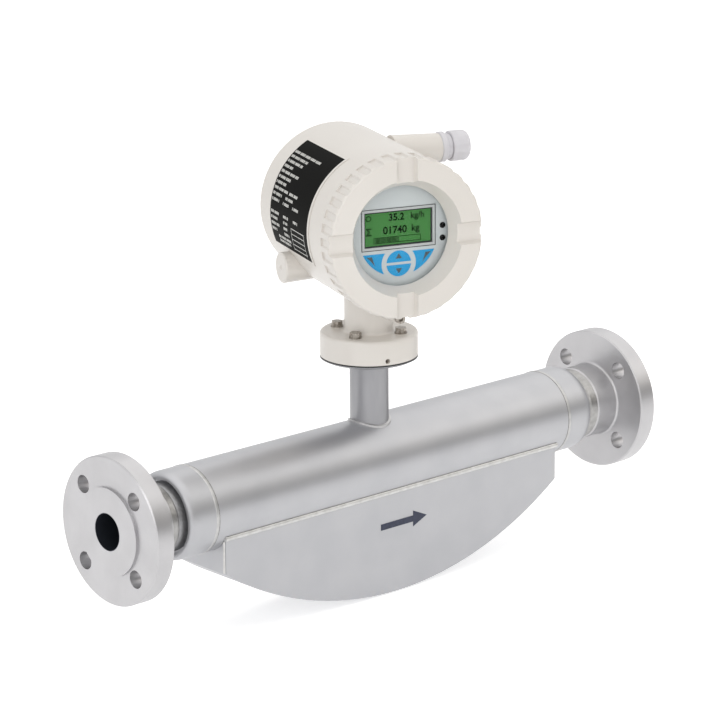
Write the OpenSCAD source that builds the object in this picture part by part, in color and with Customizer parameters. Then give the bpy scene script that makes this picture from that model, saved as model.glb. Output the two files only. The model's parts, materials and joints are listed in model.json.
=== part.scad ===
// Coriolis mass flow meter with twin bowed measuring tubes and a round transmitter head.
// Frame: origin at the centre of the inlet raised face, +X along the flow, -Y front, +Z up.

/* [Process connections] */
// Length from raised face to raised face
face_to_face = 532.5; // [510:0.5:600]
// Outer diameter of each flange
flange_d = 115; // [110:0.5:120]
// Thickness of each flange with its raised face
flange_t = 18; // [16:0.5:22]
// Diameter of the raised face
raised_face_d = 68; // [60:0.5:70]
// Height of the raised face
raised_face_h = 2; // [1:0.5:3]
// Diameter of the circle of bolt holes
bolt_circle_d = 85; // [83:0.5:88]
// Number of bolt holes in each flange
bolt_count = 4; // [4:4:8]
// Diameter of the bolt holes
bolt_hole_d = 14; // [11:0.5:16]
// Bore of each connection
port_bore_d = 28.5; // [24:0.5:30]
// Step from the hub behind each flange down to the splitter
hub_step = 3; // [1.5:0.5:4]
// Length of the flange with its hub
hub_end = 40; // [36:0.5:44]
// Fillet between flange and hub
hub_fillet = 2; // [1:0.5:3]
// Chamfer on the flange rim
flange_chamfer = 1; // [0.5:0.5:2]

/* [Flow splitters] */
// Length of the splitter from the hub to the measuring tubes
splitter_length = 28; // [26:0.5:34]
// Bore where the splitter starts
splitter_bore_d = 28; // [24:0.5:28]
// Length of the round bore before the flow divides
splitter_mouth = 6; // [4:0.5:8]
// Width of the weld ring between hub and splitter
hub_weld_w = 7; // [4:0.5:9]

/* [Housing] */
// Distance from the raised face to the rim of the end cap
cap_start = 52.5; // [50:0.5:56]
// Length of each end cap
cap_length = 25.9; // [23:0.1:30]
// Length of the rounded shoulder of the end cap
cap_shoulder = 7.5; // [5:0.5:10]
// Width of the groove round the splitter neck
cap_groove_w = 3.3; // [2:0.1:5]
// Depth of that groove
cap_groove_depth = 4.5; // [2:0.5:6]
// Thickness of the rim of the end cap
cap_rim = 1; // [0.5:0.1:2]
// Width of the rounded shoulder of the end cap
cap_shoulder_w = 3.3; // [2:0.1:5]
// Outer diameter of the housing tube
housing_d = 69.2; // [67:0.2:74]
// Wall of the housing tube and of the end caps
housing_wall = 2; // [1.5:0.1:3]
// Width of the circumferential weld beads
seam_weld_w = 3; // [2:0.5:5]
// Height of the circumferential weld beads
seam_weld_h = 0.4; // [0.2:0.1:1]

/* [Belly] */
// Distance from the seam of the end cap to the end of the belly
belly_margin = 11.7; // [8:0.1:20]
// Space between the measuring tubes and the belly plates
belly_gap = 6.8; // [5:0.1:10]
// Space between the measuring tubes and the floor of the belly
belly_floor_gap = 6.5; // [4:0.5:20]
// Depth of the belly below the pipe axis at its ends
belly_end_depth = 48; // [44:0.5:56]
// Thickness of the belly plates
belly_plate_t = 2; // [1.5:0.1:3]
// Radius of the weld beads along the belly
belly_weld_r = 2.2; // [1:0.1:3]
// Radius of the weld beads at the corners of the belly
corner_weld_r = 1.1; // [0.6:0.1:1.8]

/* [Flow arrow] */
// Length of the flow arrow
arrow_length = 49; // [30:0.5:80]
// Height of the arrow head
arrow_height = 13; // [8:0.5:20]
// Length of the arrow head
arrow_head = 14.5; // [8:0.5:25]
// Height of the arrow shaft
arrow_shaft = 5; // [2:0.5:8]
// Depth of the arrow below the pipe axis
arrow_depth = 46.5; // [38:0.5:60]
// Distance of the arrow's middle past the middle of the housing
arrow_shift = 7; // [-60:0.5:60]
// Thickness of the arrow
arrow_t = 0.3; // [0.2:0.1:1]

/* [Measuring tubes] */
// Outer diameter of each measuring tube
tube_d = 14; // [10:0.1:15]
// Wall of each measuring tube
tube_wall = 1.2; // [0.8:0.1:2]
// Distance between the axes of the two tubes
tube_spacing = 26; // [22:0.5:28]
// Depth of the bow below the pipe axis
tube_drop = 87; // [60:0.5:88]
// Radius of the bends at both ends of the bow
tube_bend_r = 60; // [40:1:80]
// Straight length between the splitter and the bend
tube_straight = 14; // [13:0.5:18]
// Thickness of the brace plates
brace_t = 1.5; // [1:0.1:3]
// Border of the brace plates round the tubes
brace_border = 2.5; // [1.5:0.1:3]
// Diameter of the drive coil and the pick-off coils
coil_d = 16; // [12:0.5:18]
// Diameter of the magnets
magnet_d = 9; // [6:0.5:10]
// Angle from the middle of the bow to each pick-off
pickoff_angle = 30; // [20:1:38]

/* [Neck] */
// Distance of the neck axis before the middle of the housing
neck_offset = 3; // [-20:0.5:20]
// Outer diameter of the neck tube
neck_tube_d = 30.6; // [28:0.1:34]
// Wall of the neck tube
neck_tube_wall = 2.3; // [1.5:0.1:3]
// Height of the underside of the neck plate above the pipe axis
neck_plate_z = 84; // [75:0.5:140]
// Thickness of the neck plate
neck_plate_t = 2; // [1.5:0.1:3]
// Chamfer under the rim of the neck plate
neck_plate_chamfer = 1.5; // [0.5:0.1:1.5]
// Thickness of the gasket under the collar
gasket_t = 1.25; // [0.8:0.05:2]
// Width of the gasket
gasket_w = 4; // [2:0.1:4.5]
// Overhang of the lip over the spigot in the clamp ring
lip_w = 3; // [2:0.5:4]
// Distance from the axes of the collar bolts inwards to the lip
lip_offset = 7; // [5:0.5:8]
// Thickness of the lip
lip_t = 3.5; // [2:0.1:5]
// Height of the groove under the lip
lip_groove_h = 6.5; // [5.5:0.1:8]
// Radius of the weld bead round the foot of the neck tube
neck_weld_w = 1.8; // [1:0.1:3]

/* [Collar and clamp] */
// Wall of the collar round the clamp ring
collar_wall = 5; // [3:0.5:8]
// Height of the collar
collar_h = 19.25; // [17:0.25:24]
// Rounding of the top edge of the collar
collar_edge_r = 2.5; // [1:0.5:3]
// Diameter of the collar bolts
collar_bolt_d = 5; // [4:0.5:6]
// Width across flats of the bolt heads
bolt_head_af = 8; // [7:0.5:9]
// Height of the bolt heads
bolt_head_h = 3.5; // [2.5:0.1:5]
// Diameter of the washers
washer_d = 10; // [9:0.5:11]
// Thickness of the washers
washer_t = 1; // [0.5:0.1:1.5]
// Distance from the axes of the collar bolts to the rim of the clamp ring
clamp_border = 6.5; // [4.5:0.5:8]
// Thickness of the split clamp ring
clamp_ring_t = 4.2; // [3:0.1:4.5]
// Gap between the halves of the clamp ring
clamp_ring_gap = 6; // [5:0.5:10]
// Diameter of the set screw
set_screw_d = 4; // [3:0.1:4.5]
// Depth of the set screw below the surface of the collar
set_screw_recess = 2.4; // [1:0.1:4]
// Diameter of the foot between collar and head
foot_d = 38.5; // [36:0.5:42]
// Fillet between collar and foot
foot_fillet = 2.75; // [2:0.25:4]
// Diameter of the cable passage in the foot
passage_d = 20; // [14:0.5:22]

/* [Transmitter head] */
// Height of the head axis above the pipe axis
head_z = 196.4; // [185:0.1:240]
// Direction of the display, from straight ahead
head_turn = -20; // [-90:1:90]
// Thickness of the shell round the thread of the front cover
head_shell = 5.3; // [4:0.1:8]
// Distance from the neck axis to the rear edge of the head
head_rear = 73; // [68:0.5:90]
// Distance from the neck axis to the seam of the front cover
head_front = 55; // [52:0.5:70]
// Rounding of the rear edge
head_rear_edge = 1.8; // [1:0.1:3]
// Distance from the neck axis back to the front face of the partition
partition_back = 11; // [10.5:0.1:12]
// Thickness of the partition between the compartments
partition_t = 5; // [3:0.5:5.5]
// Wall of the head inside the thread of the front cover
thread_wall = 7; // [5:0.5:10]
// Length of the thread under the front cover
cover_thread_length = 11.2; // [8:0.1:12]

/* [Front cover] */
// Step from the head up to the plain band of the cover
cover_step = 0.2; // [0:0.1:2]
// Length of the cover from seam to face
cover_length = 23.5; // [22:0.5:30]
// Width of the plain band behind the teeth
cover_band = 4; // [3:0.5:6]
// Height of the teeth above the plain band
tooth_rise = 0.5; // [0.2:0.1:1]
// Depth of the notches
notch_depth = 1.25; // [0.6:0.05:1.8]
// Number of notches round the cover
notch_count = 36; // [24:4:48]
// Width of the notches at their floor
notch_w = 4.6; // [3:0.1:5]
// Radial size of the rounded front edge
cover_edge_w = 2.5; // [1:0.1:4]
// Length of the rounded front edge
cover_edge_l = 4; // [2:0.5:6]
// Width of the sloping bowl round the window
bowl_w = 6.4; // [4:0.1:10]
// Width of the lip in front of the glass
window_border = 7; // [4:0.1:10]
// Depth of the window edge below the face
window_depth = 12.4; // [8:0.1:13]
// Thickness of the lip in front of the glass
window_lip = 1; // [0.6:0.1:2]
// Width of the floor of the four key slots
slot_floor_w = 14; // [10:0.5:18]
// Width of the key slots at the face
slot_top_w = 17.5; // [12:0.5:22]
// Depth of the key slots
slot_depth = 4.5; // [2:0.1:6]
// Diameter of the glass
glass_d = 92; // [84:0.2:104]
// Wall of the cover round the glass
glass_wall = 3.7; // [2.5:0.1:6]
// Thickness of the glass
glass_t = 3.5; // [3:0.1:6]
// Thickness of the ring that holds the glass
retainer_t = 2.5; // [1.5:0.1:2.5]
// Width of the ring that holds the glass
retainer_w = 3.4; // [2:0.1:3.6]
// Section diameter of the cover seal
cover_oring_w = 2.6; // [2:0.1:2.8]

/* [Display] */
// Distance from the back of the glass to the display
display_gap = 0.8; // [0.6:0.1:2]
// Thickness of the display panel
display_t = 4; // [3:0.1:6]
// Width of the screen frame
lcd_frame_w = 60.7; // [50:0.1:62]
// Height of the screen frame
lcd_frame_h = 32; // [28:0.1:34]
// Height of the screen's middle above the head axis
lcd_y = 5; // [3:0.5:8]
// Border of the screen frame
lcd_border = 2.3; // [1.5:0.1:4]
// Diameter of the round middle key
key_d = 20.2; // [14:0.1:22]
// Space between the screen frame and the round key
key_space = 1.5; // [1:0.1:4]
// Gap between the halves of the round key
key_gap = 2.1; // [1:0.1:4]
// Space between the round key and the straight edge of the side keys
side_key_gap = 1.2; // [1:0.1:4]
// Space between the round key and the hollow edge of the side keys
side_key_hollow = 4.1; // [1.5:0.1:5]
// Space between the screen frame and the side keys
side_key_space = 2.9; // [1:0.1:5]
// Outer radius of the side keys
side_key_r = 32.5; // [28:0.1:36]
// Height of the keys above the panel
key_t = 0.3; // [0.2:0.1:0.3]
// Diameter of the two light sensors
sensor_dot_d = 4.7; // [3:0.1:6]
// Distance between the light sensors
sensor_dot_spacing = 9.75; // [7:0.25:14]
// Space round the electronics module
module_gap = 6; // [4:0.5:12]
// Diameter of the hub that carries the display
module_hub_d = 40; // [30:1:60]
// Width of the terminal block
terminal_w = 60; // [40:1:64]
// Height of the terminal block
terminal_h = 18; // [12:1:24]
// Depth of the terminal block
terminal_t = 14; // [10:1:20]
// Number of terminals
terminal_count = 8; // [4:1:8]

/* [Rear cover] */
// Width of the rim of the rear cover outside its thread
rear_rim_w = 4; // [3.5:0.1:6]
// Thickness of the rear cover
rear_cover_t = 5; // [4:0.5:8]
// Length of the thread of the rear cover
rear_thread_length = 10; // [7:0.5:12]
// Section diameter of the rear seal
rear_oring_w = 1.5; // [1:0.1:2]
// Width of the key slots of the rear cover
rear_slot_w = 8; // [5:0.5:12]

/* [Nameplate] */
// Length of the nameplate along the head
plate_length = 78; // [50:0.5:80]
// Distance from the neck axis to the rear edge of the nameplate
plate_rear = 48; // [45:0.5:55]
// Angle over which the nameplate bends round the head
plate_angle = 82.5; // [50:0.5:85]
// Angle of the nameplate's upper edge
plate_top_angle = 119.5; // [115:0.5:125]
// Thickness of the nameplate
plate_t = 0.5; // [0.3:0.1:1]
// Thickness of the adhesive under the nameplate
plate_bed = 0.1; // [0.05:0.05:0.3]
// Width of the raised frame round the nameplate
plate_frame_w = 2.6; // [1:0.1:4]

/* [Bosses] */
// Distance of the gland axis below the top of the head
gland_drop = 17.5; // [15:0.1:22]
// Space between the gland thread and the partition
gland_gap = 1; // [0.5:0.1:5]
// Diameter of the gland boss at its end
gland_boss_d = 22; // [21:0.1:26]
// Taper of the gland boss over its length
gland_boss_taper = 3.6; // [0:0.1:5]
// Distance from the neck axis to the end of the gland boss
gland_boss_end = 69.85; // [66:0.05:76]
// Space between the nameplate frame and the blank boss
blank_gap = 1.4; // [0.5:0.1:5]
// Distance from the neck axis to the end of the blank boss
blank_end = 63.4; // [61:0.1:70]
// Diameter of the blank boss
blank_d = 24.5; // [20:0.1:28]
// Distance of the lock screw outside the head
lock_rise = 6.7; // [6:0.1:10]
// Distance of the lock screw beside the neck axis
lock_x = 4.5; // [-6:0.1:6]
// Diameter of the lock screw boss
lock_boss_d = 10; // [9:0.5:12]
// Length of the lock screw boss
lock_boss_length = 20; // [14:0.5:30]
// Diameter of the head of the lock screw
lock_head_d = 7.4; // [6:0.1:8]
// Height of the head of the lock screw
lock_head_h = 4; // [3:0.1:4.4]

/* [Cable gland] */
// Thread diameter of the gland
gland_thread_d = 16; // [14:0.5:18]
// Bore of the gland for the cable
gland_bore_d = 10; // [8:0.1:11]
// Diameter of the gland's collar
gland_ring_d = 24; // [22:0.1:27]
// Length of the gland's collar
gland_ring_t = 4.65; // [3:0.05:7]
// Diameter of the gland's waist
gland_waist_d = 20; // [19:0.1:22]
// Length of the gland's waist
gland_waist_l = 4.3; // [2:0.1:7]
// Diameter of the gland cap
gland_cap_d = 24.2; // [23.6:0.1:27]
// Length of the gland cap
gland_cap_l = 15.5; // [14:0.1:20]
// Length of the thread under the gland cap
gland_cap_thread = 9.2; // [7:0.1:9.5]
// Diameter of the flat end of the gland cap
gland_cap_end_d = 16; // [14:0.1:20]

/* [Clearances] */
// Free space between parts that move on each other
free_gap = 0.3; // [0.2:0.05:0.4]
// Free space round the tubes in the brace plates
brace_gap = 0.05; // [0.02:0.01:0.1]
// Free space round the cover seals in their grooves
seal_gap = 0.04; // [0.02:0.01:0.1]
// Gap at the butt joints between the lengths of each measuring tube
butt_gap = 0.02; // [0.01:0.01:0.1]

/* [Hidden] */
$fn = 96;
mid_x = face_to_face / 2;
neck_x = mid_x - neck_offset;
port_r = port_bore_d / 2;
housing_r = housing_d / 2;
cap_rim_r = housing_r - cap_shoulder_w;
cap_groove_r = cap_rim_r - cap_rim;
splitter_r = cap_groove_r - cap_groove_w;
splitter_end = hub_end + splitter_length;
hub_r = splitter_r + hub_step;
cap_end = cap_start + cap_length;
cap_web_x = cap_start + cap_groove_depth;
cap_web_end = cap_start + cap_shoulder + 1;
belly_half = mid_x - cap_end - belly_margin;
belly_length = 2 * belly_half;
belly_half_w = tube_spacing / 2 + tube_d / 2 + belly_gap + belly_plate_t;
belly_depth = tube_drop + tube_d / 2 + belly_floor_gap + belly_plate_t;
belly_rise = belly_depth - belly_end_depth;
belly_arc_r = (belly_half * belly_half + belly_rise * belly_rise) / (2 * belly_rise);
belly_arc_z = belly_arc_r - belly_depth;
belly_seam_z = -sqrt(housing_r * housing_r - belly_half_w * belly_half_w);
tube_r = tube_d / 2;
tube_y = tube_spacing / 2;
bow_start = splitter_end + tube_straight;
bow_half = mid_x - bow_start;
bow_angle = 2 * atan(tube_drop / bow_half);
bow_r = bow_half / sin(bow_angle) - tube_bend_r;
bow_z = bow_r - tube_drop;
bend_end_x = bow_start + tube_bend_r * sin(bow_angle);
bend_end_z = -tube_bend_r * (1 - cos(bow_angle));
neck_tube_r = neck_tube_d / 2;
neck_bore_r = neck_tube_r - neck_tube_wall;
neck_plate_top = neck_plate_z + neck_plate_t;
lip_z = neck_plate_top + lip_groove_h;
lip_top = lip_z + lip_t;
collar_z = neck_plate_top + gasket_t;
collar_top = collar_z + collar_h;
foot_r = foot_d / 2;
bolt_axis_r = foot_r + foot_fillet + washer_d / 2;
clamp_ring_r = bolt_axis_r + clamp_border;
collar_r = clamp_ring_r + collar_wall;
clamp_recess_r = clamp_ring_r + free_gap;
lip_r = bolt_axis_r - lip_offset;
spigot_r = lip_r - lip_w;
set_screw_z = lip_z - clamp_ring_t / 2;
cover_boss_r = glass_d / 2 + glass_wall;
chamber_r = cover_boss_r + free_gap;
cover_thread_r = chamber_r + thread_wall;
head_r = cover_thread_r + head_shell;
partition_rear = -partition_back - partition_t;
neck_front = head_front + cover_thread_length;
cover_face = head_front + cover_length;
cover_r = head_r + cover_step;
tooth_r = cover_r + tooth_rise;
tooth_start = head_front + cover_band;
window_r = glass_d / 2 - window_border;
window_edge = cover_face - window_depth;
glass_front = window_edge - window_lip;
glass_back = glass_front - glass_t;
retainer_back = glass_back - retainer_t;
retainer_r = glass_d / 2 - retainer_w;
display_s = glass_back - display_gap;
display_back = display_s - display_t;
display_r = retainer_r - free_gap - 0.1;
lcd_seat = display_s - 1.2;
lcd_back = display_s - 2.4;
lcd_w = lcd_frame_w - 2 * lcd_border;
lcd_h = lcd_frame_h - 2 * lcd_border;
lcd_bottom = lcd_frame_h / 2 - lcd_y;
key_y = lcd_bottom + key_space + key_d / 2;
side_key_x = key_d / 2 + side_key_gap;
side_key_y = lcd_bottom + side_key_space;
sensor_dot_x = (lcd_frame_w / 2 + display_r) / 2;
module_r = chamber_r - module_gap;
rear_cover_r = chamber_r + rear_rim_w;
rear_cover_inner = -head_rear + rear_cover_t;
rear_seat = rear_cover_inner + rear_oring_w;
rear_thread_r = chamber_r;
rear_bore_r = rear_thread_r + free_gap;
gland_thread_r = gland_thread_d / 2;
gland_bore_r = gland_bore_d / 2;
gland_z = head_r - gland_drop;
gland_back = gland_thread_r + gland_gap - partition_rear;
gland_ring_end = gland_boss_end + gland_ring_t;
gland_waist_end = gland_ring_end + gland_waist_l;
gland_cap_end = gland_waist_end + gland_cap_l;
gland_nose = gland_waist_end + gland_cap_thread;
gland_mouth_r = gland_bore_r + 2.2;
gland_mouth = gland_nose - 6;
gland_cap_bore_r = gland_mouth_r + 1.6;
gland_seal_end = gland_cap_end - 3.8;
plate_margin = plate_frame_w / head_r * 180 / PI;
plate_low = -head_r * sin(plate_top_angle + plate_angle + plate_margin);
blank_z = plate_low + blank_gap + blank_d / 2;
lock_drop = head_r + lock_rise;
lock_front = head_front - lock_head_h - 1;

// Frames that the pieces are built in

// Turns a shape that stands on the XY plane so that it runs along the pipe
module along_pipe() {
    rotate([0, 90, 0]) children();
}

// Mirrors an inlet piece to the outlet end
module outlet_side() {
    translate([face_to_face, 0, 0]) mirror([1, 0, 0]) children();
}

// Neck axis, turned with the head
module neck_axis() {
    translate([neck_x, 0, 0]) rotate([0, 0, head_turn]) children();
}

// Head axis: X to the right of the display, Y up, Z out of the display
module on_head() {
    translate([neck_x, 0, head_z]) rotate([0, 0, head_turn]) rotate([90, 0, 0]) children();
}

// Gland axis, Z outwards
module gland_axis() {
    on_head() translate([0, gland_z, -gland_back]) rotate([0, 90, 0]) children();
}

// Blank boss axis, Z outwards
module blank_axis() {
    on_head() translate([0, -blank_z, -gland_back]) rotate([0, -90, 0]) children();
}

// Place on the bow at an angle from its middle, Z towards the centre of the bow
module on_bow(angle) {
    translate([mid_x, 0, bow_z]) rotate([0, -angle, 0]) translate([0, 0, -bow_r]) children();
}

// Solid cylinder of the housing, used to cut what sits on it
module housing_solid(extra = 0) {
    along_pipe() cylinder(r = housing_r + extra, h = face_to_face);
}

// Process connections

module flange() {
    profile = [
        [port_r, 0],
        [raised_face_d / 2, 0],
        [raised_face_d / 2, raised_face_h],
        [flange_d / 2 - flange_chamfer, raised_face_h],
        [flange_d / 2, raised_face_h + flange_chamfer],
        [flange_d / 2, flange_t - flange_chamfer],
        [flange_d / 2 - flange_chamfer, flange_t],
        for (a = [0 : 22.5 : 90])
            [hub_r + hub_fillet * (1 - sin(a)), flange_t + hub_fillet * (1 - cos(a))],
        [hub_r, hub_end - 1],
        [hub_r - 1, hub_end],
        [port_r, hub_end]
    ];
    along_pipe() difference() {
        rotate_extrude() polygon(profile);
        for (i = [0 : bolt_count - 1])
            rotate([0, 0, 360 * (i + 0.5) / bolt_count])
                translate([bolt_circle_d / 2, 0, -1])
                    cylinder(d = bolt_hole_d, h = flange_t + 2);
    }
}

module inlet_flange() {
    color("#c9c9cc") flange();
}

module outlet_flange() {
    color("#c9c9cc") outlet_side() flange();
}

module hub_weld() {
    along_pipe() rotate_extrude() polygon([
        [splitter_r, hub_end],
        [hub_r - 1, hub_end],
        [splitter_r + 1.6, hub_end + hub_weld_w * 0.3],
        [splitter_r + 1, hub_end + hub_weld_w * 0.8],
        [splitter_r, hub_end + hub_weld_w]
    ]);
}

module hub_welds() {
    color("#9a9a9a") {
        hub_weld();
        outlet_side() hub_weld();
    }
}

// Flow splitter: one round mouth that divides into two channels
module splitter() {
    channel_r = tube_r - tube_wall;
    fork_x = hub_end + splitter_mouth - 2;
    fork_y = splitter_bore_d / 2 - channel_r - 1;
    fork_end = splitter_end - 4;
    fork_angle = atan((tube_y - fork_y) / (fork_end - fork_x));
    fork_length = (fork_end - fork_x) / cos(fork_angle);
    difference() {
        along_pipe() union() {
            translate([0, 0, hub_end]) cylinder(r = splitter_r, h = cap_web_end - hub_end);
            translate([0, 0, hub_end]) cylinder(r = splitter_r - 1.5, h = splitter_length);
        }
        translate([hub_end - 1, 0, 0]) along_pipe()
            cylinder(d = splitter_bore_d, h = splitter_mouth + 1);
        for (side = [-1, 1]) {
            translate([fork_x, side * fork_y, 0]) rotate([0, 0, side * fork_angle])
                along_pipe() cylinder(r = channel_r, h = fork_length);
            translate([fork_end - 1, side * tube_y, 0]) along_pipe()
                cylinder(r = channel_r, h = splitter_end - fork_end + 2);
        }
    }
}

module inlet_splitter() {
    color("#a3a3a6") splitter();
}

module outlet_splitter() {
    color("#a3a3a6") outlet_side() splitter();
}

// Housing

module end_cap() {
    inner_r = housing_r - housing_wall;
    along_pipe() rotate_extrude() polygon([
        [splitter_r, cap_web_x],
        [cap_groove_r, cap_web_x],
        [cap_groove_r, cap_start],
        for (a = [90 : -11.25 : 0])
            [cap_rim_r + cap_shoulder_w * cos(a), cap_start + cap_shoulder * (1 - sin(a))],
        [housing_r, cap_end],
        [inner_r, cap_end],
        [inner_r, cap_web_end],
        [splitter_r, cap_web_end]
    ]);
}

module inlet_end_cap() {
    color("#bfbfc3") end_cap();
}

module outlet_end_cap() {
    color("#bfbfc3") outlet_side() end_cap();
}

module housing_tube() {
    slot_w = tube_spacing + tube_d + 2 * brace_border + 4.6;
    slot_l = belly_length - 2 * belly_plate_t;
    color("#b9b9be") difference() {
        translate([cap_end, 0, 0]) along_pipe()
            cylinder(r = housing_r, h = face_to_face - 2 * cap_end);
        translate([cap_end - 1, 0, 0]) along_pipe()
            cylinder(r = housing_r - housing_wall, h = face_to_face - 2 * cap_end + 2);
        translate([mid_x - slot_l / 2, -slot_w / 2, -housing_r - 1])
            cube([slot_l, slot_w, housing_r]);
        translate([neck_x, 0, 0]) cylinder(r = neck_bore_r, h = housing_r + 1);
    }
}

module seam_weld() {
    along_pipe() rotate_extrude() polygon([
        [housing_r, cap_end - seam_weld_w / 2],
        [housing_r + seam_weld_h, cap_end - seam_weld_w / 4],
        [housing_r + seam_weld_h, cap_end + seam_weld_w / 4],
        [housing_r, cap_end + seam_weld_w / 2]
    ]);
}

module seam_welds() {
    color("#8f8f90") {
        seam_weld();
        outlet_side() seam_weld();
    }
}

// Belly

// Side view of the belly, drawn in by an inset
module belly_outline(inset = 0) {
    intersection() {
        translate([mid_x - belly_half + inset, -belly_depth - 1])
            square([belly_length - 2 * inset, belly_depth + 1]);
        translate([mid_x, belly_arc_z]) circle(r = belly_arc_r - inset, $fn = 360);
    }
}

// Slab in the side view plane between two Y positions
module belly_slab(from_y, to_y) {
    translate([0, to_y, 0]) rotate([90, 0, 0]) linear_extrude(to_y - from_y) children();
}

module belly_plate(from_y) {
    difference() {
        belly_slab(from_y, from_y + belly_plate_t) belly_outline();
        housing_solid();
    }
}

module belly_front_plate() {
    color("#b4b4b9") belly_plate(-belly_half_w);
}

module belly_back_plate() {
    color("#b4b4b9") belly_plate(belly_half_w - belly_plate_t);
}

module belly_rim() {
    inner_half_w = belly_half_w - belly_plate_t;
    color("#aeaeb2") difference() {
        belly_slab(-inner_half_w, inner_half_w) difference() {
            belly_outline();
            belly_outline(belly_plate_t);
        }
        housing_solid();
    }
}

module belly_welds() {
    bead_l = belly_length + 2 * corner_weld_r;
    corner_y = belly_half_w - belly_plate_t;
    corner_top = -sqrt(pow(housing_r, 2) - pow(corner_y, 2));
    color("#dcdcde") difference() {
        for (side = [-1, 1]) {
            translate([mid_x - bead_l / 2, side * belly_half_w, belly_seam_z]) along_pipe()
                cylinder(r = belly_weld_r, h = bead_l, $fn = 32);
            for (end = [-1, 1])
                translate([mid_x + end * belly_half, side * corner_y, -belly_end_depth + 1])
                    cylinder(r = corner_weld_r, h = belly_end_depth - 1 + corner_top, $fn = 32);
        }
        belly_slab(-belly_half_w, belly_half_w) belly_outline();
        housing_solid();
    }
}

module flow_arrow() {
    tail_x = mid_x + arrow_shift - arrow_length / 2;
    neck = tail_x + arrow_length - arrow_head;
    color("#1d2b52") belly_slab(-belly_half_w - arrow_t, -belly_half_w) polygon([
        [tail_x, -arrow_depth - arrow_shaft / 2],
        [neck, -arrow_depth - arrow_shaft / 2],
        [neck, -arrow_depth - arrow_height / 2],
        [tail_x + arrow_length, -arrow_depth],
        [neck, -arrow_depth + arrow_height / 2],
        [neck, -arrow_depth + arrow_shaft / 2],
        [tail_x, -arrow_depth + arrow_shaft / 2]
    ]);
}

// Measuring tubes

module tube_ring() {
    difference() {
        circle(r = tube_r, $fn = 48);
        circle(r = tube_r - tube_wall, $fn = 48);
    }
}

// Arc of tube in the XZ plane
module tube_arc(x, z, radius, start, angle) {
    translate([x, 0, z]) rotate([90, 0, 0]) rotate([0, 0, start])
        rotate_extrude(angle = angle) translate([radius, 0]) tube_ring();
}

// Straight run and bend at one end of the bow
module tube_end() {
    translate([splitter_end, 0, 0]) along_pipe()
        linear_extrude(tube_straight - butt_gap) tube_ring();
    tube_arc(bow_start, -tube_bend_r, tube_bend_r, 90 - bow_angle, bow_angle);
}

// Tube butt-welded from two ends and the bow between them
module measuring_tube() {
    gap_angle = butt_gap / (bow_r - tube_r) * 180 / PI;
    sweep = bow_angle - gap_angle;
    tube_end();
    outlet_side() tube_end();
    tube_arc(mid_x, bow_z, bow_r, -90 - sweep, 2 * sweep);
}

module measuring_tube_front() {
    color("#c8c8cc") translate([0, -tube_y, 0]) measuring_tube();
}

module measuring_tube_back() {
    color("#c8c8cc") translate([0, tube_y, 0]) measuring_tube();
}

// Plate that ties both tubes, standing across X
module brace_plate() {
    plate_w = tube_spacing + tube_d + 2 * brace_border;
    plate_h = tube_d + 2 * brace_border;
    difference() {
        translate([-brace_t / 2, -plate_w / 2, -plate_h / 2]) cube([brace_t, plate_w, plate_h]);
        for (side = [-1, 1])
            translate([-brace_t, side * tube_y, 0]) along_pipe()
                cylinder(r = tube_r + brace_gap, h = 2 * brace_t);
    }
}

module brace_pair() {
    translate([bow_start - 3, 0, 0]) brace_plate();
    translate([bend_end_x, 0, bend_end_z]) rotate([0, bow_angle, 0]) brace_plate();
}

module brace_plates() {
    color("#b0b0b4") {
        brace_pair();
        outlet_side() brace_pair();
    }
}

// Coil on a bracket that stands on the front tube
module coil() {
    lift = tube_r + coil_d / 2 + 1;
    difference() {
        union() {
            translate([-5, -tube_y - 3, tube_r + 0.15]) cube([10, 6, coil_d / 2 + 1]);
            translate([0, 3 - tube_y, lift]) rotate([90, 0, 0]) cylinder(d = coil_d, h = 3, $fn = 48);
            translate([0, -1, lift]) rotate([90, 0, 0])
                cylinder(d = coil_d, h = tube_y - 2, $fn = 48);
        }
        translate([0, 0, lift]) rotate([90, 0, 0])
            cylinder(d = magnet_d + 2, h = tube_y - 4, $fn = 48);
    }
}

// Magnet on a bracket that stands on the back tube and dips into the coil
module magnet() {
    lift = tube_r + coil_d / 2 + 1;
    translate([-5, tube_y - 3, tube_r + 0.15]) cube([10, 6, coil_d / 2 + 1]);
    translate([0, tube_y - 2, lift]) rotate([90, 0, 0])
        cylinder(d = magnet_d, h = tube_y + 3, $fn = 48);
}

module drive_coil() {
    color("#b5652b") on_bow(0) coil();
}

module drive_magnet() {
    color("#56565a") on_bow(0) magnet();
}

module pickoff_coils() {
    color("#b5652b") for (side = [-1, 1]) on_bow(side * pickoff_angle) coil();
}

module pickoff_magnets() {
    color("#56565a") for (side = [-1, 1]) on_bow(side * pickoff_angle) magnet();
}

module temperature_sensor() {
    color("#d9d4c4") translate([splitter_end + 1, -tube_y - 2, tube_r]) cube([6, 4, 2.5]);
}

// Neck

module neck_tube() {
    color("#b5b5b9") difference() {
        translate([neck_x, 0, 0]) cylinder(r = neck_tube_r, h = neck_plate_z);
        translate([neck_x, 0, -1]) cylinder(r = neck_bore_r, h = neck_plate_z + 2);
        housing_solid();
    }
}

module neck_weld() {
    color("#8d8d8d") difference() {
        intersection() {
            translate([neck_x, 0, 0]) cylinder(r = neck_tube_r + neck_weld_w, h = housing_r + 5);
            housing_solid(neck_weld_w * 0.8);
        }
        translate([neck_x, 0, -1]) cylinder(r = neck_tube_r, h = housing_r + 7);
        housing_solid();
    }
}

module neck_feedthrough() {
    color("#7a5a3a") translate([neck_x, 0, neck_plate_z - 8]) {
        cylinder(r = neck_bore_r, h = 8);
        for (i = [0 : 5])
            rotate([0, 0, 60 * i]) translate([7, 0, 7]) cylinder(d = 1.4, h = 6, $fn = 16);
    }
}

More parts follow.
